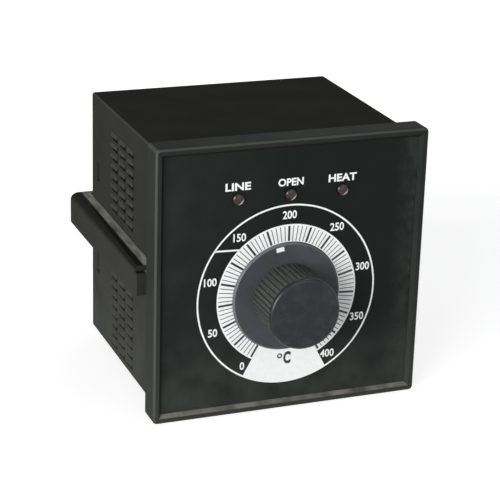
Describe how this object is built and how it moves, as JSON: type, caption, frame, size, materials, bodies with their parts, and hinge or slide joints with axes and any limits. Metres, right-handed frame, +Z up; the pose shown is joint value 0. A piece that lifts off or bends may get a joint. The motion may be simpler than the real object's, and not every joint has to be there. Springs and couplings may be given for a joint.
{
  "type": "panel-mount temperature controller",
  "caption": "Square dial-set temperature controller for a panel cut-out: sunk scale face with lamps and a fluted knob, slotted housing, rear screw terminals and a sliding mounting yoke.",
  "frame": {"origin": "centre of the bezel's rear face, which rests on the front of the panel", "axes": "+Y runs back through the panel cut-out, +Z is up, +X is to the right seen from the front"},
  "size_m": [0.1024, 0.106, 0.096],
  "materials": {
    "bezel_plastic": "satin",
    "housing_plastic": "matte",
    "film_print": "satin",
    "knob_plastic": "gloss",
    "yoke_plastic": "satin",
    "terminal_plastic": "matte",
    "plated_steel": "satin",
    "brass_parts": "satin",
    "lamp_lens": "gloss",
    "circuit_board": "satin",
    "core_steel": "satin",
    "winding": "satin",
    "nylon": "matte",
    "relay_plastic": "gloss",
    "can_aluminium": "satin",
    "black_resin": "matte"
  },
  "bodies": {
    "case": {"front_bezel": "bezel_plastic", "face_film": "film_print", "housing": "housing_plastic", "rear_cover": "housing_plastic", "terminal_block_upper": "terminal_plastic", "terminal_block_lower": "terminal_plastic", "terminal_contacts": "brass_parts", "terminal_washers": "plated_steel", "terminal_screws": "plated_steel", "front_board": "circuit_board", "board_screws": "plated_steel", "lamp_leads": "plated_steel", "pot_tags": "plated_steel", "power_board": "circuit_board", "main_board": "circuit_board", "rear_board": "circuit_board", "board_headers": "black_resin", "transformer_bobbin": "nylon", "transformer_coil": "winding", "transformer_core": "core_steel", "output_relay": "relay_plastic", "capacitors": "can_aluminium", "control_chips": "black_resin", "lamp_left": "lamp_lens", "lamp_middle": "lamp_lens", "lamp_right": "lamp_lens", "pot_body": "plated_steel", "pot_bushing": "brass_parts", "pot_washer": "plated_steel", "pot_nut": "plated_steel"},
    "knob": {"pot_shaft": "plated_steel", "dial_knob": "knob_plastic", "knob_cap": "knob_plastic", "knob_collet": "brass_parts", "collet_nut": "brass_parts"},
    "yoke": {"mounting_yoke": "yoke_plastic"}
  },
  "joints": [
    {"name": "knob_turn", "type": "hinge", "parent": "case", "child": "knob", "pos_m": [-0.0012, -0.01, -0.0073], "axis": [0, 1, 0], "range_deg": [-138, 162]},
    {"name": "yoke_slide", "type": "slide", "parent": "case", "child": "yoke", "axis": [0, 1, 0], "range_m": [0, 0.008]}
  ]
}
